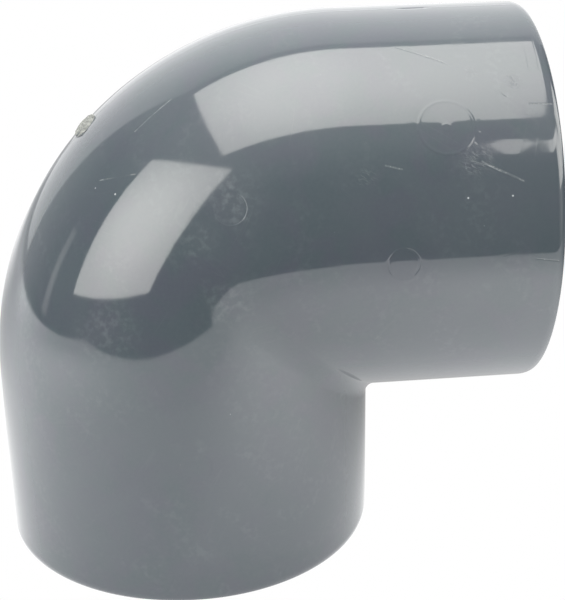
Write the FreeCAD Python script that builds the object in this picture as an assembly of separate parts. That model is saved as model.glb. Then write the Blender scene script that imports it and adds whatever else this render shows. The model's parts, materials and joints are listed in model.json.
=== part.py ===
import FreeCAD, Part
import math
import os

# A 90 degree elbow for 90 mm plastic pressure pipe, moulded in one piece, with a plain round socket
# at each end for solvent cement. It stands on its lower mouth. The origin is the centre of that
# mouth, +Z runs up the lower socket and +X runs out along the side socket. Lengths are in mm.
#
# The moulding is modelled whole, then divided where it changes shape: at the two pipe stops, and
# on the 45 degree plane where the sockets touch. The three regions meet face to face.

# Driving dimensions
PIPE_DIAMETER = 90.0
SOCKET_CLEARANCE = 0.2
BODY_DIAMETER = 107.0
PASSAGE_DIAMETER = 82.0

# The standard series for solvent-cement fittings: how deep a socket is, and how far its pipe stop
# is from the point where the two axes cross.
SOCKET_DEPTH = PIPE_DIAMETER / 2 + 6
STOP_TO_CENTRE = PIPE_DIAMETER / 2 + 1
MOUTH_TO_CENTRE = SOCKET_DEPTH + STOP_TO_CENTRE

# Edges and marks of the moulding
LIP_RADIUS = 1.6
LEAD_IN = 0.8
CROTCH_FILLET = 3.2
GATE_DIAMETER = 7.8
GATE_HEIGHT = 1.2
GATE_ROOT = 3.0

BODY_RADIUS = BODY_DIAMETER / 2
BORE_RADIUS = (PIPE_DIAMETER + SOCKET_CLEARANCE) / 2
PASSAGE_RADIUS = PASSAGE_DIAMETER / 2
OVERLAP = 1.0

Y_AXIS = FreeCAD.Vector(0, 1, 0)
Z_AXIS = FreeCAD.Vector(0, 0, 1)
CENTRE = FreeCAD.Vector(0, 0, MOUTH_TO_CENTRE)

# The outside of the bend turns about an axis level with both pipe stops, so it begins where the
# sockets end.
BEND_AXIS_POINT = FreeCAD.Vector(STOP_TO_CENTRE, 0, SOCKET_DEPTH)


def joined(edges, points):
    """One closed wire of the given edges, then straight lines through the points."""
    sides = [Part.LineSegment(a, b).toShape() for a, b in zip(points, points[1:])]
    return Part.Wire(edges + sides)


def turned_about_lower_axis(wire):
    return Part.Face(wire).revolve(FreeCAD.Vector(0, 0, 0), Z_AXIS, 360)


def turned_to_side(shape):
    """The same shape at the side end: a half turn about the elbow's 45 degree line."""
    moved = shape.copy()
    moved.rotate(CENTRE, FreeCAD.Vector(1, 0, -1), 180)
    return moved


def both_ends(shape):
    return shape.fuse(turned_to_side(shape))


def outline(radius, height):
    """A point on a half outline in the XZ plane, from its radius about the lower axis."""
    return FreeCAD.Vector(radius, 0, height)


def socket_bar():
    """The lower socket as a solid bar, with the outer edge of its mouth rounded."""
    flat = outline(BODY_RADIUS - LIP_RADIUS, 0)
    wall = outline(BODY_RADIUS, LIP_RADIUS)
    inset = LIP_RADIUS * (1 - math.sqrt(0.5))
    lip = Part.Arc(flat, outline(BODY_RADIUS - inset, inset), wall).toShape()
    corners = [wall, outline(BODY_RADIUS, SOCKET_DEPTH), outline(0, SOCKET_DEPTH), outline(0, 0), flat]
    return turned_about_lower_axis(joined([lip], corners))


def socket_hollow():
    """The space in the lower socket: a bore down to the pipe stop, with a lead-in at the mouth."""
    corners = [
        outline(0, -OVERLAP),
        outline(BORE_RADIUS + LEAD_IN + OVERLAP, -OVERLAP),
        outline(BORE_RADIUS, LEAD_IN),
        outline(BORE_RADIUS, SOCKET_DEPTH),
        outline(0, SOCKET_DEPTH),
        outline(0, -OVERLAP),
    ]
    return turned_about_lower_axis(joined([], corners))


def bend_core(radius):
    """A bend of two straight round bars that meet on the 45 degree plane. The inside keeps that
    mitred corner, and the outside is rounded about the bend's axis."""
    def at_stop(x, y):
        return FreeCAD.Vector(x, y, SOCKET_DEPTH)

    side = radius + OVERLAP
    corners = [
        at_stop(0, radius),
        at_stop(0, side),
        at_stop(STOP_TO_CENTRE, side),
        at_stop(STOP_TO_CENTRE, -side),
        at_stop(0, -side),
        at_stop(0, -radius),
    ]
    round_side = Part.Arc(at_stop(0, -radius), at_stop(-radius, 0), at_stop(0, radius)).toShape()
    section = Part.Face(joined([round_side], corners))
    rounded = section.revolve(BEND_AXIS_POINT, Y_AXIS, 90)
    bar = Part.makeCylinder(radius, STOP_TO_CENTRE + side, at_stop(0, 0), Z_AXIS)
    return both_ends(rounded.common(bar))


def crotch_section(y):
    """The fillet's outline in the plane at y. Both bars narrow there by the same share, and so does
    the fillet. Its arc starts just inside their walls, and its back is buried in the bars."""
    sink = 0.03
    half = math.sqrt(BODY_RADIUS ** 2 - y ** 2)
    arc_radius = CROTCH_FILLET * half / BODY_RADIUS
    back = min(2.0, 0.6 * half)
    centre = half + arc_radius - sink
    middle = centre - arc_radius * math.sqrt(0.5)

    def at(out, down):
        return CENTRE + FreeCAD.Vector(out, y, -down)

    start = at(centre - arc_radius, centre)
    end = at(centre, centre - arc_radius)
    arc = Part.Arc(start, at(middle, middle), end).toShape()
    corners = [end, at(centre, half - back), at(half - back, half - back), at(half - back, centre), start]
    return joined([arc], corners)


def crotch_fillet():
    """The rounded inner corner where the two sockets meet, fading out towards the bend's sides."""
    half_spread = 79
    steps = 8
    angles = [half_spread * (2 * i / steps - 1) for i in range(steps + 1)]
    sections = [crotch_section(BODY_RADIUS * math.sin(math.radians(a))) for a in angles]
    return Part.makeLoft(sections, True)


def gate_stub():
    """What is left of the feed gate where it was cut off, on the outside of the bend at 45 degrees."""
    outward = FreeCAD.Vector(-1, 0, 1).normalize()
    root = BEND_AXIS_POINT + outward * (STOP_TO_CENTRE + BODY_RADIUS - GATE_ROOT)
    return Part.makeCylinder(GATE_DIAMETER / 2, GATE_ROOT + GATE_HEIGHT, root, outward)


def whole_elbow():
    outside = both_ends(socket_bar()).fuse(bend_core(BODY_RADIUS))
    outside = outside.fuse([crotch_fillet(), gate_stub()]).removeSplitter()
    hollow = both_ends(socket_hollow()).fuse(bend_core(PASSAGE_RADIUS))
    return outside.cut(hollow)


def zone_between(*directions):
    """A wide block beside the bend's axis, bounded by the given (x, z) directions from it."""
    reach = 2 * MOUTH_TO_CENTRE
    half_width = BODY_DIAMETER
    corners = [BEND_AXIS_POINT]
    corners += [BEND_AXIS_POINT + FreeCAD.Vector(x, 0, z) * reach for x, z in directions]
    side = Part.Face(Part.makePolygon(corners + [BEND_AXIS_POINT]))
    side.translate(Y_AXIS * -half_width)
    return side.extrude(Y_AXIS * 2 * half_width)


REGIONS = {
    "bend": [(-1, 0), (-1, 1), (0, 1)],
    "lower_socket": [(-1, 0), (-1, -1), (1, -1)],
    "side_socket": [(0, 1), (1, 1), (1, -1)],
}


def main():
    os.makedirs("parts", exist_ok=True)
    elbow = whole_elbow()
    for node, directions in REGIONS.items():
        elbow.common(zone_between(*directions)).exportStep(f"parts/{node}.step")


main()
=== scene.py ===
import json
import math

import bmesh
import bpy
import numpy as np
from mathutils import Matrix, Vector, noise
from mathutils.geometry import delaunay_2d_cdt


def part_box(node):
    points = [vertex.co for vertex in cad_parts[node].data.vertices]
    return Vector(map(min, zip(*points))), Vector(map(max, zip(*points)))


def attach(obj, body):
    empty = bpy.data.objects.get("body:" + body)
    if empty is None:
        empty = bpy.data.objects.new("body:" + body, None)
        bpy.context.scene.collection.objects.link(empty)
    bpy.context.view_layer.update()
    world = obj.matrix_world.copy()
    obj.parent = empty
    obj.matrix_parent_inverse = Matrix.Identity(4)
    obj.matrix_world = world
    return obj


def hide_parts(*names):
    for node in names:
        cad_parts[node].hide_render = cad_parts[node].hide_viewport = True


# A moulded plastic pipe elbow in a small white studio. The elbow is one seamless mesh, worked out
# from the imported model's sizes. Lengths are in metres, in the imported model's frame: the lower
# mouth stands on the floor at the origin, and the side socket points along +X.

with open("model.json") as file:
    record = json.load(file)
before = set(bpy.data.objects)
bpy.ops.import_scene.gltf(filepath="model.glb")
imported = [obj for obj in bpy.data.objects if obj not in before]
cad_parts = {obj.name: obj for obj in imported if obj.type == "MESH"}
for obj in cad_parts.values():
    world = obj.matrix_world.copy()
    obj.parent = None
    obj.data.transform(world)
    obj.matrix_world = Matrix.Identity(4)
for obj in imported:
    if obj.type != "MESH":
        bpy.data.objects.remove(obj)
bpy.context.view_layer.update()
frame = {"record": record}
MM = 0.001

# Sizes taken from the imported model
LOWER_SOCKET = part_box("lower_socket")
BODY_RADIUS = -LOWER_SOCKET[0].x
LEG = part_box("side_socket")[1].x
SOCKET_DEPTH = LOWER_SOCKET[1].z
STOP = LEG - SOCKET_DEPTH
BORE_RADIUS = frame["record"]["mounts"][0]["dims"]["r_mm"] * MM
CROSSING = np.array([0.0, 0.0, LEG])

# Sizes of the moulding's own details
PASSAGE_RADIUS = 41 * MM
LEAD_IN = 0.8 * MM
LIP_LENGTH = 2.8 * MM
LIP_DROP = 1.1 * MM
CROTCH_FILLET = 4.4 * MM
CROWN_BLEND = 6 * MM
CROWN_ROUNDING = 16 * MM
INNER_FILLET = 1.5 * MM
INNER_ROUNDING = 2 * MM
EDGE_ROUND = 0.3 * MM
GATE_RADIUS = 3.9 * MM
GATE_HEIGHT = 1.2 * MM
EJECTOR_RADIUS = 4.1 * MM
EJECTOR_REACH = 55 * MM
ROUNDEL_RADIUS = 7.5 * MM
WAVE_DEPTH = 0.03 * MM
WAVE_SIZE = 38 * MM
NICK_START, NICK_END = 62 * MM, 70 * MM
NICK_RUN_OUT = 1.5 * MM
NICK_HALF_WIDTH = 0.6 * MM
NICK_DEPTH = 0.35 * MM

# Round marks: how deep or high each is, and its section as (share of its radius, share of its
# depth or height), from the wall in to the middle
EJECTOR_DEPTH = 0.09 * MM
BEND_EJECTOR_DEPTH = 0.06 * MM
EJECTOR_SECTION = [
    (1.15, 0), (1.06, 0), (1.02, -0.3), (0.99, -1.5), (0.96, -1.6), (0.92, -0.9), (0.8, -0.7),
    (0.6, -0.7), (0.4, -0.7), (0.2, -0.7), (0, -0.7),
]
ROUNDEL_HEIGHT = 0.021 * MM
ROUNDEL_SECTION = [
    (1.12, 0), (1.04, 0), (1.0, 0.25), (0.985, 0.9), (0.95, 1), (0.915, 0.9), (0.9, 0.25), (0.86, 0),
    (0.7, 0), (0.5, 0), (0.32, 0), (0.2, 0), (0.17, 0.3), (0.15, 0.9), (0.08, 1), (0, 1),
]
GATE_SIDE = {1.35: 0, 1.15: 0, 1.06: -0.04, 1.0: 0.03, 0.985: 0.45, 0.97: 0.85}
GATE_TOP = [0.93, 0.86, 0.78, 0.7, 0.62, 0.54, 0.46, 0.38, 0.3, 0.22, 0.14, 0.07]

# Where the marks on the front are, in mm from the crossing of the axes
BEND_EJECTOR_PLACE = (11.6, -47.6, 15.2)
ROUNDEL_PLACE = (67.3, -42.6, 32.3)

# Mesh density. The outer rings turn about a line this far out from the crossing on both axes.
AROUND = 400
PIVOT = 60 * MM
FAN_STEPS = 150
PASSAGE_STEPS = 70
CENTRE_BULGE = 0.06
RAY_REACH = 1.035
HALVINGS = 44
HOLE_MARGIN = 0.7 * MM
HOLE_DEPTH = 4 * MM

# Colours and light, in linear units where a white page is 1
PVC_GREENISH = (0.0385, 0.0500, 0.0575)
PVC_VIOLET = (0.0420, 0.0480, 0.0600)
PVC_TINT = (0.0448, 0.0542, 0.0632)
PVC_SPECKLE = (0.0500, 0.0600, 0.0670)
DUST_COLOUR = (0.42, 0.43, 0.44)
SCRATCH_COLOUR = (0.30, 0.32, 0.31)
TORN_SHADE = (0.085, 0.090, 0.086)
TORN_TINT = (0.175, 0.182, 0.172)
LAMP_COLOUR = (1.0, 0.985, 0.945)
BOX_RADIANCE = 8.8
FILL_RADIANCE = 7.5
SMALL_RADIANCE = 4.8
CARD_RADIANCE = 1.2
SLIT_RADIANCE = 1.3
ROOM_RADIANCE = 0.1
ROOM_TOP_RADIANCE = 1.1
ROOM_BACK_RADIANCE = 0.6
# The reflected floor's painted light: bright in front, a painted shadow behind the elbow, a little
# more glow far off
FLOOR_FRONT_RADIANCE = 2.05
FLOOR_BACK_RADIANCE = 0.55
FLOOR_FAR_RADIANCE = 0.05
BACKDROP_RADIANCE = 2.15
BACKDROP_EDGE_RADIANCE = 1.5

# Handling marks on the side that faces the camera, in mm: scratches as (start, end, half width),
# soft patches as (centre, radius), and single white flecks
SCRATCHES = [
    ((48, -23.5, 147), (58, -23, 145.5), 0.3),
    ((58, -23, 145.5), (68.5, -28, 142.5), 0.35),
    ((68.5, -28, 142.5), (84, -37.5, 135), 0.3),
    ((76.5, -48, 121), (86, -50, 116.5), 0.45),
    ((89.5, -39.2, 133.4), (95.2, -39.4, 133.2), 0.3),
    ((51, -47.5, 121.5), (55, -48, 120.5), 0.35),
    ((-11, -23, 126), (-1, -21, 134), 0.3),
    ((-21, -27, 114.5), (-11.5, -33, 117.5), 0.3),
    ((89.5, -53.5, 96.5), (95.5, -53.5, 95.5), 0.25),
]
SCUFFS = [((74, -47.5, 121.5), 6.5), ((46, -49, 119), 4), ((76, -31.5, 140.5), 3), ((86, -34, 138), 4)]
HAZES = [
    ((12, -48, 115), 11), ((3.5, -48, 104), 7), ((10, -51.5, 88), 10), ((-20, -46, 80.5), 12),
]
FLECKS = [
    (75.5, -53, 106), (71.5, -51, 113), (83, -51, 113), (-22, -27.5, 112.5), (-17, -33, 112.5),
    (-39, -13, 99),
]
FLECK_RADIUS = 0.36

# Scratches too fine to place one by one: (turn of the grain, seed, strength)
HAIRLINES = [
    ((0.4, 0.5, 0.3), 0.13, 0.14), ((1.1, -0.6, 0.8), 0.47, 0.1), ((0.2, 1.3, -0.5), 0.81, 0.08),
]

# The plastic's gloss, and the depths of its finest relief
ROUGHNESS_CLEAN = 0.062
ROUGHNESS_SMEARED = 0.095
ADDED_ROUGHNESS = {"haze": 0.025, "marks": 0.25, "flecks": 0.4, "inside": 0.09, "torn": 0.65}
PVC_IOR = 1.52
RIPPLE_DEPTH = 0.007 * MM
PARTING_LINE_HEIGHT = 0.04 * MM
MARK_DEPTH = 0.04 * MM
TORN_DEPTH = 0.25 * MM

# The studio. The lights are placed in units of the elbow's outside diameter. The floor's glows are
# painted pools of light, given as (centre, radius, radiance).
UNIT = 2 * BODY_RADIUS
BACKDROP_Y = 1.1
PAGE_REACH = 4.0
FLOOR_GAP = 0.2 * MM
FLOOR_GLOWS = [
    ((0.17, -0.11, 0), 0.2, 2.2), ((-0.28, -0.1, 0), 0.28, 1.35),
    ((-0.6, 0.35, 0), 0.5, 0.85), ((-0.1, 0.36, 0), 0.27, 0.9),
]

# The camera, which looks down at the bend from in front. Its picture is 565 by 600 pixels.
CAMERA_PLACE = CROSSING + UNIT * np.array([-0.1177, -3.7384, 1.3160])
CAMERA_HEADING = 0.1045
CAMERA_DIP = -0.4036
CAMERA_ROLL = -0.0156
CAMERA_LENS = 89.54
CAMERA_SENSOR = 36


# --- the elbow's wall -------------------------------------------------------------------------

def smooth_max(a, b, width):
    """The larger of two distances, eased where they differ by less than the width."""
    overlap = np.clip(width - np.abs(a - b), 0, None) / width
    return np.maximum(a, b) + width * overlap ** 2 / 4


def round_min(a, b, radius):
    """The smaller of two distances, with a round fillet of a given radius where they are equal."""
    gap = np.abs(a - b)
    apart = np.minimum(gap, radius)
    return (a + b - gap + apart) / 2 - radius + np.sqrt(radius ** 2 / 2 - apart ** 2 / 4)


def smooth_step(value, start, end):
    t = np.clip((value - start) / (end - start), 0, 1)
    return t * t * (3 - 2 * t)


def off_axis(x, z, wall):
    """How far a point beside the bend's plane is from the nearest bar's axis. x and z are measured
    from the crossing of the axes. The bars meet in a mitre on the inside of the bend, which softens
    towards its sides, and the outside is rounded about the bend's own axis."""
    along = np.clip((x - z) / (2 * wall["radius"]), 0, 1)
    mitred = round_min(x, -z, wall["corner"] + wall["spread"] * (1 - along) ** 2)
    turn = np.arctan2(z + STOP, STOP - x)
    softness = wall["rounding"] * np.clip(np.sin(2 * turn), 0, 1) ** 2 + MM / 1000
    bend = smooth_max(mitred, np.hypot(x - STOP, z + STOP) - STOP, softness)
    return np.where((x < STOP) & (z > -STOP), bend, mitred)


def ray_to_wall(origins, directions, wall, reach):
    """Where rays that start inside the elbow meet its wall, by halving the interval."""
    low = np.zeros(len(directions))
    high = np.full(len(directions), reach)
    for _ in range(HALVINGS):
        middle = (low + high) / 2
        points = origins + directions * middle[:, None]
        off = off_axis(points[:, 0], points[:, 2], wall)
        outside = points[:, 1] ** 2 + off ** 2 > wall["radius"] ** 2
        high = np.where(outside, middle, high)
        low = np.where(outside, low, middle)
    return origins + directions * ((low + high) / 2)[:, None]


def wall_of(radius, corner, spread, rounding):
    return {"radius": radius, "corner": corner, "spread": spread, "rounding": rounding}


OUTER = wall_of(BODY_RADIUS, CROTCH_FILLET, CROWN_BLEND, CROWN_ROUNDING)
INNER = wall_of(PASSAGE_RADIUS, INNER_FILLET, 0, INNER_ROUNDING)


def column_angles():
    """Angles round a ring from the outer crown line, closer together along both parting lines."""
    even = np.linspace(0, 2 * math.pi, AROUND, endpoint=False)
    return even - 0.1 * np.sin(2 * even)


ANGLES = column_angles()


def ring_directions(outward):
    across = np.array([0, 1.0, 0])
    return np.cos(ANGLES)[:, None] * np.array(outward) + np.sin(ANGLES)[:, None] * across


def lower_ring(inward, radius):
    """A round ring at a distance in from the lower mouth."""
    return np.array([0, 0, inward - LEG]) + radius * ring_directions([-1.0, 0, 0])


def side_ring(inward, radius):
    return np.array([LEG - inward, 0, 0]) + radius * ring_directions([0, 0, 1.0])


def fan_rings(wall, pivot, steps, bunching):
    """Rings in half-planes that turn about a line beside the crotch, from the lower leg to the side
    leg, bunched towards the mitre."""
    rings = []
    for step in np.linspace(-1, 1, steps + 1):
        turn = math.pi / 4 * (1 + math.copysign(abs(step) ** bunching, step))
        outward = np.array([-math.cos(turn), 0, math.sin(turn)])
        centre_distance = pivot * (1 + CENTRE_BULGE * math.sin(2 * turn))
        centre = np.array([pivot, 0, -pivot]) + outward * centre_distance
        rings.append(ray_to_wall(centre, ring_directions(outward), wall, RAY_REACH * pivot))
    return rings


def rounded(corners, radius, steps=3):
    """A path through the corners, each inner one replaced by a small arc-like curve."""
    path = [corners[0]]
    for before, corner, after in zip(corners, corners[1:], corners[2:]):
        before, corner, after = (np.array(p, float) for p in (before, corner, after))
        start = corner + (before - corner) / np.linalg.norm(before - corner) * radius
        end = corner + (after - corner) / np.linalg.norm(after - corner) * radius
        for t in np.linspace(0, 1, steps + 1):
            path.append(tuple((1 - t) ** 2 * start + 2 * t * (1 - t) * corner + t * t * end))
    return path + [corners[-1]]


def outer_radius(inward):
    """The outside radius at a distance in from a mouth, with its rounded lip."""
    past_lip = np.clip((LIP_LENGTH - inward) / LIP_LENGTH, 0, 1)
    return BODY_RADIUS - LIP_DROP * (1 - math.sqrt(1 - past_lip ** 2))


def outside_profile():
    """(distance in from the mouth, radius) from the middle of a leg out to its mouth."""
    lip = [LIP_LENGTH * (1 - math.sin(a)) for a in np.linspace(0, math.pi / 2, 15)]
    straight = np.linspace(LEG - PIVOT, LIP_LENGTH, 26)[1:-1]
    return [(inward, outer_radius(inward)) for inward in [*straight, *lip]]


def mouth_profile():
    """From the lip over the flat end face, the lead-in, the bore and the pipe stop to the passage."""
    corners = [
        (0, BODY_RADIUS - LIP_DROP),
        (0, BORE_RADIUS + LEAD_IN),
        (LEAD_IN, BORE_RADIUS),
        (SOCKET_DEPTH, BORE_RADIUS),
        (SOCKET_DEPTH, PASSAGE_RADIUS),
        (SOCKET_DEPTH + 2 * EDGE_ROUND, PASSAGE_RADIUS),
    ]
    path = rounded(corners, EDGE_ROUND)[1:-1]
    filled = [path[0]]
    for point in path[1:]:
        gap = math.dist(filled[-1], point)
        parts = max(1, round(gap / (2.5 * MM)))
        last = np.array(filled[-1])
        filled += [tuple(last + (np.array(point) - last) * i / parts) for i in range(1, parts + 1)]
    return filled


def elbow_rings():
    """All the rings, in a closed round: out along the lower leg's outside from its mouth, over the
    bend to the side mouth, in through the side socket and the passage, and out of the lower one."""
    outside = outside_profile()
    mouth = mouth_profile()
    rings = [lower_ring(*p) for p in reversed(outside)]
    rings += fan_rings(OUTER, PIVOT, FAN_STEPS, 1.5)
    rings += [side_ring(*p) for p in outside]
    outer_count = len(rings)
    rings += [side_ring(*p) for p in mouth]
    rings += reversed(fan_rings(INNER, STOP, PASSAGE_STEPS, 1.3)[1:-1])
    rings += [lower_ring(*p) for p in reversed(mouth)]
    return rings, outer_count


# --- marks on the wall ------------------------------------------------------------------------

def waves(point, size):
    """Smooth noise from -1 to 1 whose waves are about the given size across."""
    return noise.noise(Vector(point) / size)


def wall_normal(point):
    """The outward direction of the outer wall, from small steps to each side of a point."""
    def level(x, y, z):
        return float(off_axis(np.float64(x), np.float64(z), OUTER)) ** 2 + y * y

    step = 0.01 * MM
    slope = [level(*(point + step * side)) - level(*(point - step * side)) for side in np.eye(3)]
    return np.array(slope) / np.linalg.norm(slope)


def project(points, axis):
    """The wall under points that lie on a plane across the axis, in a line along that axis."""
    start = points - axis * (15 * MM)
    return ray_to_wall(start, np.tile(axis, (len(points), 1)), OUTER, 30 * MM)


def fill_between(mesh, rim, ring, centre, across, up):
    """Triangles between the ragged rim of a hole and the round ring inside it."""
    corners = list({vertex for edge in rim for vertex in edge.verts}) + ring
    index = {vertex: i for i, vertex in enumerate(corners)}
    offsets = [np.array(vertex.co) - centre for vertex in corners]
    flat = [Vector((offset @ across, offset @ up)) for offset in offsets]
    borders = [(index[edge.verts[0]], index[edge.verts[1]]) for edge in rim]
    borders += [(index[a], index[b]) for a, b in zip(ring, ring[1:] + ring[:1])]
    triangles = delaunay_2d_cdt(flat, borders, [], 1, 1e-7)[2]
    inner = 0.99 * flat[-1].length
    for triangle in triangles:
        if sum((flat[i] for i in triangle), Vector((0, 0))).length / 3 > inner:
            mesh.faces.new([corners[i] for i in triangle])


def insert_patch(mesh, centre, radius, shares, height, segments):
    """Cuts a round hole in the wall and fills it with rings at the given shares of the radius, set
    off from the wall by height(share, angle). The outermost ring lies on the wall just inside the
    hole. Gives each new vertex with its share of the radius."""
    centre = np.array(centre, float)
    axis = wall_normal(centre)
    across = np.cross(axis, [0, 0.1, 1.0])
    across /= np.linalg.norm(across)
    up = np.cross(axis, across)
    hole = radius * shares[0] + HOLE_MARGIN
    doomed = set()
    for vertex in mesh.verts:
        offset = vertex.co - Vector(centre)
        along = offset.dot(Vector(axis))
        if abs(along) < HOLE_DEPTH and (offset - Vector(axis) * along).length < hole:
            doomed.update(vertex.link_faces)
    bmesh.ops.delete(mesh, geom=list(doomed), context="FACES")
    rim = [e for e in mesh.edges if e.is_boundary]
    turns = np.linspace(0, 2 * math.pi, segments, endpoint=False)
    circle = np.cos(turns)[:, None] * across + np.sin(turns)[:, None] * up
    rings = []
    for share in shares:
        rise = np.array([height(share, turn) for turn in turns])
        placed = project(centre + circle * share * radius, axis) + axis * rise[:, None]
        rings.append([mesh.verts.new(point) for point in placed])
    middle = mesh.verts.new(project(np.array([centre]), axis)[0] + axis * height(0, 0))
    fill_between(mesh, rim, rings[0], centre, across, up)
    for outer, inner in zip(rings, rings[1:]):
        for i in range(segments):
            j = (i + 1) % segments
            mesh.faces.new((outer[i], outer[j], inner[j], inner[i]))
    for i in range(segments):
        mesh.faces.new((rings[-1][i], rings[-1][(i + 1) % segments], middle))
    made = [(vertex, share) for ring, share in zip(rings, shares) for vertex in ring]
    return made + [(middle, 0)]


def add_round_mark(mesh, centre, radius, section, size, segments):
    """A round mark of the given section, whose depths or heights are shares of the size."""
    heights = {share: high * size for share, high in section}
    shares = [share for share, _ in section if share]
    insert_patch(mesh, centre, radius, shares, lambda share, turn: heights[share], segments)


def add_gate(mesh, torn):
    """The stub of the feed gate: a low round boss, broken off at a slant, with a loose curl of
    plastic along half of its low side."""
    outward = np.array([-1, 0, 1]) / math.sqrt(2)
    centre = np.array([STOP, 0, -STOP]) + outward * (STOP + OUTER["radius"])
    groove_at, curl_at = -0.42, -0.68

    def height(share, turn):
        if share in GATE_SIDE:
            ragged = 1 + 0.14 * waves((math.cos(turn), math.sin(turn), 3), 0.35) * (share < 1)
            return GATE_HEIGHT * GATE_SIDE[share] * (0.55 + 0.45 * math.cos(turn)) * ragged
        back, down = share * math.cos(turn), share * math.sin(turn)
        slant = 0.52 + 0.44 * back
        lumps = 0.06 * waves((back, down, 0), 0.3)
        ridges = 0.03 * math.sin(30 * back + 5 * waves((back, down, 0), 0.5))
        lower_half = smooth_step(down, -0.25, 0.1)
        groove = -0.4 * math.exp(-((back - groove_at) / 0.08) ** 2) * lower_half
        curl = 0.3 * math.exp(-((back - curl_at) / 0.13) ** 2) * lower_half
        return GATE_HEIGHT * (slant + lumps + ridges + groove + curl)

    shares = [*GATE_SIDE, *GATE_TOP]
    for vertex, share in insert_patch(mesh, centre, GATE_RADIUS, shares, height, 120):
        back = vertex.co.y / GATE_RADIUS
        in_groove = math.exp(-((back - groove_at) / 0.1) ** 2) * (vertex.co.x + vertex.co.z < 0)
        vertex[torn] = float(smooth_step(-share, -1.01, -0.975)) * (1 - 0.85 * in_groove)


def wall_shift(point, normal):
    """The moulding's slight waviness, and the nick on its top line, as a move along the normal."""
    shift = -WAVE_DEPTH * (0.5 + 0.5 * waves(point, WAVE_SIZE))
    x, y, z = point
    if z > 0 and abs(y) < NICK_HALF_WIDTH:
        opening = smooth_step(x, NICK_START, NICK_START + NICK_RUN_OUT)
        closing = smooth_step(-x, -NICK_END, -NICK_END + NICK_RUN_OUT)
        shift -= NICK_DEPTH * float(opening * closing) * (1 - abs(y) / NICK_HALF_WIDTH)
    return normal * shift


def add_marks(mesh, torn):
    """The three round prints of ejector pins, a plain ring with a dot in it, and the gate."""
    prints = [
        ((EJECTOR_REACH, -BODY_RADIUS, 0), EJECTOR_DEPTH),
        ((0, -BODY_RADIUS, -EJECTOR_REACH), EJECTOR_DEPTH),
        (np.array(BEND_EJECTOR_PLACE) * MM, BEND_EJECTOR_DEPTH),
    ]
    for centre, depth in prints:
        add_round_mark(mesh, centre, EJECTOR_RADIUS, EJECTOR_SECTION, depth, 96)
    roundel_centre = np.array(ROUNDEL_PLACE) * MM
    add_round_mark(mesh, roundel_centre, ROUNDEL_RADIUS, ROUNDEL_SECTION, ROUNDEL_HEIGHT, 128)
    add_gate(mesh, torn)


def make_elbow():
    rings, outer_count = elbow_rings()
    points = np.concatenate(rings)
    total = len(rings)
    mesh = bmesh.new()
    torn = mesh.verts.layers.float.new("torn")
    inside = mesh.verts.layers.float.new("inside")
    verts = [mesh.verts.new(point) for point in points.tolist()]
    for vertex in verts[outer_count * AROUND:]:
        vertex[inside] = 1.0
    for i in range(total):
        k = (i + 1) % total
        for j in range(AROUND):
            n = (j + 1) % AROUND
            corners = (i * AROUND + j, i * AROUND + n, k * AROUND + n, k * AROUND + j)
            mesh.faces.new([verts[corner] for corner in corners])
    add_marks(mesh, torn)
    bmesh.ops.delete(mesh, geom=[v for v in mesh.verts if not v.link_faces], context="VERTS")
    bmesh.ops.recalc_face_normals(mesh, faces=mesh.faces)
    mesh.normal_update()
    moved = [(v, v.co + wall_shift(v.co, v.normal)) for v in mesh.verts if not v[inside]]
    for vertex, place in moved:
        vertex.co = place
    bmesh.ops.translate(mesh, verts=mesh.verts, vec=CROSSING)
    for face in mesh.faces:
        face.smooth = True
    data = bpy.data.meshes.new("pipe_elbow")
    mesh.to_mesh(data)
    mesh.free()
    elbow = bpy.data.objects.new("pipe_elbow", data)
    bpy.context.scene.collection.objects.link(elbow)
    return elbow


# --- materials --------------------------------------------------------------------------------

def new_material(name):
    material = bpy.data.materials.new(name)
    material.use_nodes = True
    material.node_tree.nodes.clear()
    return material, material.node_tree.nodes, material.node_tree.links


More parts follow.
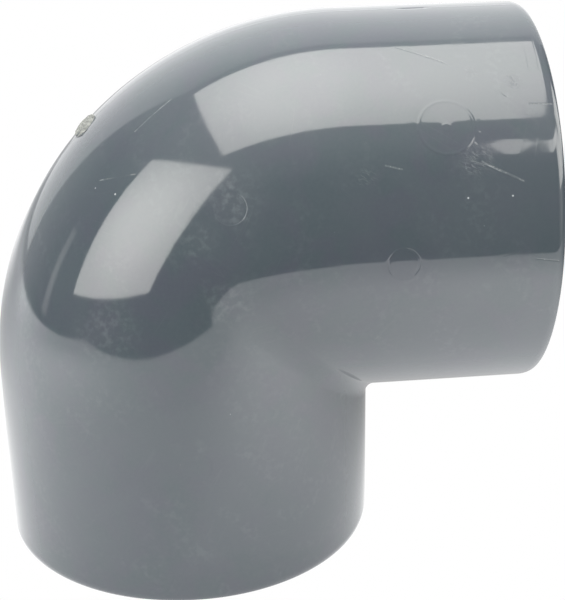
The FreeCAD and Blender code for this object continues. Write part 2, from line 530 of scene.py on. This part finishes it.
class Graph:
    """Short calls for the shader nodes that the materials share. Each gives an output socket."""

    def __init__(self, nodes, links):
        self.nodes = nodes
        self.links = links

    def set(self, socket, value):
        if isinstance(value, bpy.types.NodeSocket):
            self.links.new(value, socket)
        else:
            socket.default_value = value

    def math(self, operation, a, b=0.0):
        node = self.nodes.new("ShaderNodeMath")
        node.operation = operation
        self.set(node.inputs[0], a)
        self.set(node.inputs[1], b)
        return node.outputs["Value"]

    def ramp(self, value, start, end, at_start=0.0, at_end=1.0):
        """A smooth step from one value to another."""
        node = self.nodes.new("ShaderNodeMapRange")
        node.interpolation_type = "SMOOTHSTEP"
        pairs = zip(("From Min", "From Max", "To Min", "To Max"), (start, end, at_start, at_end))
        for name, number in pairs:
            node.inputs[name].default_value = number
        self.set(node.inputs["Value"], value)
        return node.outputs["Result"]

    def distance(self, place, centre):
        node = self.nodes.new("ShaderNodeVectorMath")
        node.operation = "DISTANCE"
        self.set(node.inputs[0], place)
        self.set(node.inputs[1], centre)
        return node.outputs["Value"]

    def axis(self, place, name):
        node = self.nodes.new("ShaderNodeSeparateXYZ")
        self.set(node.inputs["Vector"], place)
        return node.outputs[name]

    def noise(self, place, size, detail=2.0, distortion=0.0):
        """Noise around 0.5 whose waves are about the given size across."""
        node = self.nodes.new("ShaderNodeTexNoise")
        for name, number in (("Scale", 1 / size), ("Detail", detail), ("Distortion", distortion)):
            node.inputs[name].default_value = number
        self.links.new(place, node.inputs["Vector"])
        return node.outputs["Fac"]

    def stretched(self, place, turn, sizes, shift=(0, 0, 0)):
        """The place in a turned frame, in units of a different size along each of its axes."""
        node = self.nodes.new("ShaderNodeMapping")
        node.vector_type = "TEXTURE"
        self.links.new(place, node.inputs["Vector"])
        for name, numbers in (("Location", shift), ("Rotation", turn), ("Scale", sizes)):
            node.inputs[name].default_value = numbers
        return node.outputs["Vector"]

    def near_line(self, place, start, end):
        """The distance from the straight line between two points."""
        along = self.nodes.new("ShaderNodeVectorMath")
        along.operation = "DOT_PRODUCT"
        self.links.new(place, along.inputs[0])
        along.inputs[1].default_value = (end - start) / (end - start).length_squared
        share = self.nodes.new("ShaderNodeMapRange")
        share.data_type = "FLOAT_VECTOR"
        from_start = start.dot(end - start) / (end - start).length_squared
        ends = ((from_start,) * 3, (from_start + 1,) * 3, start, end)
        for socket, numbers in zip(share.inputs[7:11], ends):
            socket.default_value = numbers
        self.links.new(along.outputs["Value"], share.inputs[6])
        return self.distance(place, share.outputs["Vector"])

    def specks(self, place, spacing, radius):
        """Small round dots, one in each cell about the given spacing across."""
        node = self.nodes.new("ShaderNodeTexVoronoi")
        node.inputs["Scale"].default_value = 1 / spacing
        self.links.new(place, node.inputs["Vector"])
        return self.ramp(node.outputs["Distance"], radius / spacing, 0.4 * radius / spacing)

    def most(self, masks):
        masks = list(masks)
        top = masks[0]
        for mask in masks[1:]:
            top = self.math("MAXIMUM", top, mask)
        return top

    def mix(self, share, first, second):
        """From the first colour to the second."""
        node = self.nodes.new("ShaderNodeMix")
        node.data_type = "RGBA"
        self.set(node.inputs[0], share)
        for socket, colour in ((node.inputs[6], first), (node.inputs[7], second)):
            self.set(socket, colour if isinstance(colour, bpy.types.NodeSocket) else (*colour, 1))
        return node.outputs[2]

    def bump(self, height, depth, under=None):
        node = self.nodes.new("ShaderNodeBump")
        node.inputs["Distance"].default_value = depth
        self.links.new(height, node.inputs["Height"])
        if under:
            self.links.new(under, node.inputs["Normal"])
        return node.outputs["Normal"]


def placed_scratches(graph, place):
    """The handling scratches on the side that faces the camera."""
    masks = []
    for start, end, half_width in SCRATCHES:
        near = graph.near_line(place, Vector(start) * MM, Vector(end) * MM)
        masks.append(graph.ramp(near, half_width * MM, 0.3 * half_width * MM))
    return graph.most(masks)


def hairlines(graph, place, turn, seed):
    """Faint straight scratches that all run about the same way, in scattered short lengths."""
    along_lines = graph.stretched(place, turn, (5 * MM, 90 * MM, 90 * MM), (seed, 0, 0))
    off_line = graph.math("ABSOLUTE", graph.math("SUBTRACT", graph.noise(along_lines, 1, 1.0), 0.5))
    moved = graph.stretched(place, turn, (1, 1, 1), (0, seed, 0))
    scattered = graph.ramp(graph.noise(moved, 15 * MM, 2.0), 0.54, 0.7)
    return graph.math("MULTIPLY", graph.ramp(off_line, 0.008, 0.001), scattered)


def patches(graph, place, spots):
    """Soft round areas, from their centres and radii in mm."""
    masks = []
    for centre, radius in spots:
        reach = graph.distance(place, Vector(centre) * MM)
        masks.append(graph.ramp(reach, radius * MM, 0.2 * radius * MM))
    return graph.most(masks)


def vertex_mask(graph, name):
    node = graph.nodes.new("ShaderNodeAttribute")
    node.attribute_name = name
    return node.outputs["Fac"]


def pvc_masks(graph, place):
    """Where the plastic is clouded, wiped, hazy, marked, dusty or torn, each as a mask by name."""
    grain = graph.noise(place, 0.9 * MM, 3.0)
    rubbed = graph.ramp(graph.noise(place, 1.7 * MM, 4.0), 0.42, 0.7)
    wiped = graph.stretched(place, (0.5, 0.9, 0.3), (16 * MM, 40 * MM, 9 * MM))
    smears = graph.ramp(graph.noise(wiped, 1, 4.0, 0.8), 0.46, 0.72)
    haze = graph.math("MULTIPLY", patches(graph, place, HAZES), graph.math("ADD", 0.25, rubbed))

    lines = graph.most([
        graph.math("MULTIPLY", hairlines(graph, place, turn, seed), strength)
        for turn, seed, strength in HAIRLINES
    ])
    broken = graph.ramp(grain, 0.35, 0.65, 0.45, 1)
    scratches = graph.math("MULTIPLY", placed_scratches(graph, place), broken)
    scuffed_way = graph.stretched(place, (0.3, 0.6, 0.2), (4 * MM, 0.8 * MM, 0.6 * MM))
    scuff_hatch = graph.ramp(graph.noise(scuffed_way, 1, 5.0, 1.0), 0.45, 0.75)
    scuffs = graph.math("MULTIPLY", patches(graph, place, SCUFFS), scuff_hatch)

    dusty = graph.ramp(graph.noise(place, 16 * MM, 1.0), 0.52, 0.66)
    dust = graph.math("MULTIPLY", graph.specks(place, 6 * MM, 0.16 * MM), dusty)
    flecks = patches(graph, place, [(spot, FLECK_RADIUS) for spot in FLECKS])

    across_gate = graph.stretched(place, (0, -math.pi / 4, 0.5), (0.35 * MM, 1.6 * MM, 1.6 * MM))
    return {
        "clouds": graph.ramp(graph.noise(place, 34 * MM, 4.0, 0.6), 0.34, 0.66),
        "hue": graph.ramp(graph.noise(place, 11 * MM, 3.0, 0.5), 0.38, 0.62),
        "grain": grain,
        "smears": smears,
        "film": graph.math("MULTIPLY", smears, rubbed),
        "haze": haze,
        "marks": graph.most([scratches, graph.math("MULTIPLY", scuffs, 0.6), lines]),
        "flecks": graph.most([dust, flecks]),
        "hatch": graph.noise(across_gate, 1, 3.0),
        "torn": vertex_mask(graph, "torn"),
        "inside": vertex_mask(graph, "inside"),
    }


def pvc_colour(graph, masks):
    colour = graph.mix(masks["hue"], PVC_GREENISH, PVC_VIOLET)
    colour = graph.mix(graph.ramp(masks["clouds"], 0, 1, 0, 0.75), colour, PVC_TINT)
    colour = graph.mix(graph.ramp(masks["grain"], 0.3, 0.7, 0, 0.22), colour, PVC_SPECKLE)
    layers = [
        ("film", 0.025, DUST_COLOUR),
        ("haze", 0.038, DUST_COLOUR),
        ("marks", 0.13, SCRATCH_COLOUR),
        ("flecks", 0.6, DUST_COLOUR),
    ]
    for name, share, over in layers:
        colour = graph.mix(graph.math("MULTIPLY", masks[name], share), colour, over)
    torn_colour = graph.mix(graph.ramp(masks["hatch"], 0.35, 0.65), TORN_SHADE, TORN_TINT)
    return graph.mix(masks["torn"], colour, torn_colour)


def pvc_roughness(graph, masks):
    roughness = graph.ramp(masks["smears"], 0, 1, ROUGHNESS_CLEAN, ROUGHNESS_SMEARED)
    for name, more in ADDED_ROUGHNESS.items():
        roughness = graph.math("ADD", roughness, graph.math("MULTIPLY", masks[name], more))
    return roughness


def pvc_relief(graph, place, masks):
    """The relief too fine for the mesh: a soft ripple, the parting line, the marks and the tear."""
    relief = graph.bump(graph.noise(place, 4 * MM, 1.0), RIPPLE_DEPTH)
    parting_line = graph.ramp(graph.math("ABSOLUTE", graph.axis(place, "Y")), 0.4 * MM, 0.1 * MM)
    outside = graph.math("SUBTRACT", 1.0, masks["inside"])
    relief = graph.bump(graph.math("MULTIPLY", parting_line, outside), PARTING_LINE_HEIGHT, relief)
    relief = graph.bump(graph.math("SUBTRACT", masks["flecks"], masks["marks"]), MARK_DEPTH, relief)
    return graph.bump(graph.math("MULTIPLY", masks["hatch"], masks["torn"]), TORN_DEPTH, relief)


def pvc_material():
    """Glossy moulded PVC: clouded blue-grey, scratched and dusty from handling, with a torn gate."""
    material, nodes, links = new_material("blue_grey_pvc")
    graph = Graph(nodes, links)
    place = nodes.new("ShaderNodeTexCoord").outputs["Object"]
    masks = pvc_masks(graph, place)
    shader = nodes.new("ShaderNodeBsdfPrincipled")
    output = nodes.new("ShaderNodeOutputMaterial")
    links.new(shader.outputs["BSDF"], output.inputs["Surface"])
    links.new(pvc_colour(graph, masks), shader.inputs["Base Color"])
    links.new(pvc_roughness(graph, masks), shader.inputs["Roughness"])
    links.new(pvc_relief(graph, place, masks), shader.inputs["Normal"])
    shader.inputs["IOR"].default_value = PVC_IOR
    return material


def glowing(name, strength, colour=(1, 1, 1)):
    """A material that only shines. The strength is a number, or a function of (graph, place) that
    gives its socket from the object's own coordinates."""
    material, nodes, links = new_material(name)
    graph = Graph(nodes, links)
    place = nodes.new("ShaderNodeTexCoord")
    glow = nodes.new("ShaderNodeEmission")
    glow.inputs["Color"].default_value = (*colour, 1)
    graph.set(glow.inputs["Strength"], strength(graph, place) if callable(strength) else strength)
    output = nodes.new("ShaderNodeOutputMaterial")
    links.new(glow.outputs["Emission"], output.inputs["Surface"])
    return material


def softbox_glow(name, radiance, edge_share):
    """An even glow that dims towards the panel's edges."""
    def strength(graph, place):
        reach = graph.distance(place.outputs["Generated"], (0.5, 0.5, 0.5))
        return graph.ramp(reach, 0.1, 0.7, radiance, radiance * edge_share)
    return glowing(name, strength, LAMP_COLOUR)


# --- the studio -------------------------------------------------------------------------------

def add_mesh(name, points, faces, material):
    data = bpy.data.meshes.new(name)
    data.from_pydata([tuple(p) for p in points], [], faces)
    data.materials.append(material)
    piece = bpy.data.objects.new(name, data)
    bpy.context.scene.collection.objects.link(piece)
    return piece


def panel(name, centre, across, up, material):
    """A flat four-sided panel, from its centre and its two half sides."""
    centre, across, up = (np.array(v, float) for v in (centre, across, up))
    corners = [centre - across - up, centre + across - up, centre + across + up, centre - across + up]
    return add_mesh(name, corners, [(0, 1, 2, 3)], material)


def dome(name, radius, material, columns=48, rows=16):
    """A half sphere, open at the bottom, where it reaches just below the floor."""
    points = []
    for row in range(rows + 1):
        rise = math.pi / 2 * row / rows
        for column in range(columns):
            turn = 2 * math.pi * column / columns
            level = radius * max(math.cos(rise), 0.001)
            height = radius * math.sin(rise) - 2 * FLOOR_GAP
            points.append((level * math.cos(turn), level * math.sin(turn), height))
    faces = []
    for row in range(rows):
        for column in range(columns):
            beside = (column + 1) % columns
            start, above = row * columns, (row + 1) * columns
            faces.append((start + column, start + beside, above + beside, above + column))
    return add_mesh(name, points, faces, material)


def level_direction(azimuth):
    """A level unit direction: 0 is towards the camera's side (-Y), and positive turns to +X."""
    a = math.radians(azimuth)
    return np.array([math.sin(a), -math.cos(a), 0.0])


def softbox(name, azimuth, tilt, distance, offset, width, height, material, lean=0):
    """A rectangular light that tilts over the object, hung beside it at an azimuth from the crossing,
    and that leans to the right as seen from the object. Its sizes are in units."""
    outward = level_direction(azimuth)
    across = np.array([math.cos(math.radians(azimuth)), math.sin(math.radians(azimuth)), 0])
    t = math.radians(tilt)
    up = np.array([0, 0, math.cos(t)]) - outward * math.sin(t)
    centre = CROSSING + UNIT * (outward * distance + across * offset[0] + up * offset[1])
    r = math.radians(lean)
    across, up = across * math.cos(r) - up * math.sin(r), up * math.cos(r) + across * math.sin(r)
    return panel(name, centre, UNIT * across * width / 2, UNIT * up * height / 2, material)


def floor_strength(graph, place):
    """The reflected floor, its light and shade painted on: bright in front of the elbow and in a few
    soft painted pools of light, and dim behind it in a painted shadow, where the elbow keeps the light
    off."""
    spot = place.outputs["Object"]
    across = graph.math("MULTIPLY", graph.axis(spot, "X"), 0.7)
    # Painted shadow: dim behind the elbow, bright in front of it
    front = graph.ramp(graph.math("ADD", graph.axis(spot, "Y"), across), 0.12, -0.12,
                       FLOOR_BACK_RADIANCE, FLOOR_FRONT_RADIANCE)
    # A little more glow far from the elbow, so the painted shade lies close to it
    far = graph.ramp(graph.distance(spot, (0, 0, 0)), 0.25, 0.6, 0, FLOOR_FAR_RADIANCE)
    lit = graph.math("ADD", front, far)
    # Painted pools of light
    for centre, radius, radiance in FLOOR_GLOWS:
        lit = graph.math("ADD", lit, graph.ramp(graph.distance(spot, centre), 0, radius, radiance, 0))
    return lit


def backdrop_strength(graph, place):
    reach = graph.distance(place.outputs["Object"], (0, BACKDROP_Y, 1.3))
    return graph.ramp(reach, 0, 1.4, BACKDROP_RADIANCE, BACKDROP_EDGE_RADIANCE)


def make_room():
    """The dim room around the lights, which is lighter overhead and behind the elbow."""
    world = bpy.data.worlds.new("room")
    world.use_nodes = True
    nodes, links = world.node_tree.nodes, world.node_tree.links
    graph = Graph(nodes, links)
    direction = nodes.new("ShaderNodeTexCoord").outputs["Generated"]
    above = graph.ramp(graph.axis(direction, "Z"), 0.45, 0.95, ROOM_RADIANCE, ROOM_TOP_RADIANCE)
    behind = graph.ramp(graph.axis(direction, "Y"), 0.2, 0.8, 0, ROOM_BACK_RADIANCE)
    background = nodes["Background"]
    background.inputs["Color"].default_value = (1, 1, 1, 1)
    links.new(graph.math("ADD", above, behind), background.inputs["Strength"])
    bpy.context.scene.world = world


def small_light(material):
    """A small leaning six-cornered light, above the elbow, in front of it and to the right."""
    outward, across = level_direction(30), level_direction(30 + 90)
    outline = [(-1, 0.45), (0.1, 1), (0.95, 0.65), (1, 0), (-0.2, -1), (-0.7, -0.85)]
    corners = []
    for u, v in outline:
        place = 2 * outward + (0.243 + 0.083 * u) * across + np.array([0, 0, 1.412 + 0.205 * v])
        corners.append(CROSSING + UNIT * place)
    return add_mesh("small_light", corners, [range(len(corners))], material)


def make_lights():
    glow = softbox_glow("softbox_glow", BOX_RADIANCE, 0.65)
    fill_glow = softbox_glow("fill_glow", FILL_RADIANCE, 0.8)
    slit_glow = softbox_glow("slit_glow", SLIT_RADIANCE, 0.6)
    small_glow = softbox_glow("small_glow", SMALL_RADIANCE, 1.0)
    card_glow = softbox_glow("card_glow", CARD_RADIANCE, 0.0)
    return [
        panel("overhead_light", CROSSING + np.array([-0.6, -0.575, 8.0]) * UNIT,
              [3.9 * UNIT, 0, 0], [0, 4.125 * UNIT, 0], glow),
        softbox("left_light", -58.4, 17.9, 9, (-0.18, 4.12), 6.75, 6.93, glow),
        softbox("right_light", 43, 0, 10, (-0.3, 8.35), 6, 2.0, fill_glow, 8),
        softbox("low_right_light", 43, 0, 10.2, (2.2, 5), 6, 5, fill_glow),
        softbox("back_right_light", 80, 0, 10, (0, 6.5), 6, 8, fill_glow),
        softbox("right_card", 43, 0, 10.5, (0.3, 1), 6.5, 9, card_glow),
        small_light(small_glow),
        softbox("slit_light", -99, 0, 12, (0, 1.25), 1.0, 4.6, slit_glow),
    ]


def make_studio():
    """A white page to stand on and in front of, which only the camera sees, and the lights, the
    floor and the backdrop that the elbow reflects, which the camera doesn't see."""
    page = glowing("white_page", 1.0)
    reflected = make_lights()
    reflected.append(panel("lit_floor", (0.35, 0.59, 0), [1.04, 0, 0], [0, 0.91, 0],
                           glowing("lit_floor", floor_strength)))
    reflected.append(panel("backdrop", (0.1, BACKDROP_Y, 1.0), [1.28, 0, 0], [0, 0, 1.0],
                           glowing("lit_backdrop", backdrop_strength)))
    for piece in reflected:
        piece.visible_camera = False
    floor = panel("floor", (0, 0, -FLOOR_GAP), [PAGE_REACH, 0, 0], [0, PAGE_REACH, 0], page)
    surround = dome("surround", PAGE_REACH, page)
    for piece in (floor, surround):
        for rays in ("diffuse", "glossy", "transmission", "volume_scatter", "shadow"):
            setattr(piece, "visible_" + rays, False)
    make_room()


def make_camera():
    heading, dip = CAMERA_HEADING, CAMERA_DIP
    level = math.cos(dip)
    forward = Vector((math.sin(heading) * level, math.cos(heading) * level, math.sin(dip)))
    right = Vector((math.cos(heading), -math.sin(heading), 0))
    up = right.cross(forward)
    rolled_right = right * math.cos(CAMERA_ROLL) + up * math.sin(CAMERA_ROLL)
    rolled_up = up * math.cos(CAMERA_ROLL) - right * math.sin(CAMERA_ROLL)
    data = bpy.data.cameras.new("camera")
    data.sensor_width = CAMERA_SENSOR
    data.lens = CAMERA_LENS
    data.clip_start = 0.01
    camera = bpy.data.objects.new("camera", data)
    bpy.context.scene.collection.objects.link(camera)
    matrix = camera.matrix_world.copy()
    matrix.col[0][:3] = rolled_right
    matrix.col[1][:3] = rolled_up
    matrix.col[2][:3] = -forward
    matrix.col[3][:3] = CAMERA_PLACE
    camera.matrix_world = matrix
    bpy.context.scene.camera = camera


elbow = make_elbow()
elbow.data.materials.append(pvc_material())
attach(elbow, "root")
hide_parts("bend", "lower_socket", "side_socket")
make_studio()
make_camera()
bpy.context.scene.view_settings.view_transform = "Standard"
